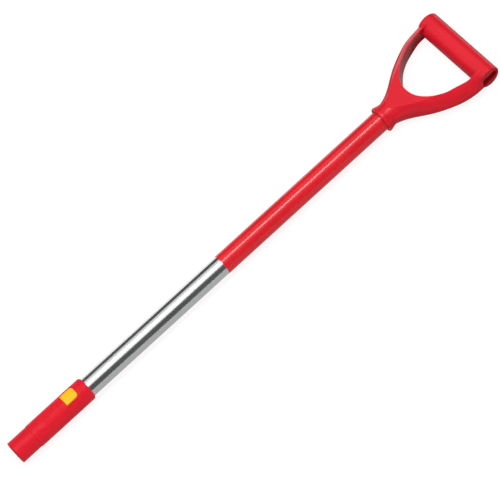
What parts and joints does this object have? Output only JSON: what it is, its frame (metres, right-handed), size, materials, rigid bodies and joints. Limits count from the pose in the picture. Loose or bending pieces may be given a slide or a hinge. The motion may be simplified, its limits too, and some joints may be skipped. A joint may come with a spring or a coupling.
{
  "type": "garden tool handle",
  "caption": "D-grip aluminium handle with a push-button coupling that takes interchangeable garden tool heads",
  "frame": {"origin": "centre of the tool socket's mouth, on the tube's axis", "axes": "+X along the tube from the socket mouth to the hand bar; +Z out of the release button, square to the plane of the D-grip; +Y completes the frame"},
  "size_m": [0.85, 0.139, 0.04],
  "materials": {
    "grip_plastic": "smooth glossy moulded polypropylene",
    "sleeve_plastic": "glossy shrunk-on sleeve",
    "coupler_plastic": "semi-gloss moulded nylon",
    "button_plastic": "semi-gloss moulded",
    "guide_plastic": "moulded acetal",
    "tube_aluminium": "drawn and polished",
    "rivet_aluminium": "plain",
    "latch_steel": "zinc plated",
    "spring_steel": "plain"
  },
  "bodies": {
    "handle": {"coupler_housing": "coupler_plastic", "front_guide": "guide_plastic", "latch_block": "guide_plastic", "button_spring": "spring_steel", "coupler_screw_front": "latch_steel", "coupler_screw_rear": "latch_steel", "main_tube": "tube_aluminium", "grip_sleeve": "sleeve_plastic", "d_grip": "grip_plastic", "grip_rivet": "rivet_aluminium", "rivet_mandrel": "latch_steel"},
    "button": {"release_button": "button_plastic", "latch_hook": "latch_steel", "latch_peg": "latch_steel"}
  },
  "joints": [
    {"name": "button_press", "type": "slide", "parent": "handle", "child": "button", "axis": [0, 0, -1], "range_m": [0, 0.003], "stiffness_N_per_m": 900, "springref_m": -0.004, "deforming": ["button_spring"]}
  ]
}
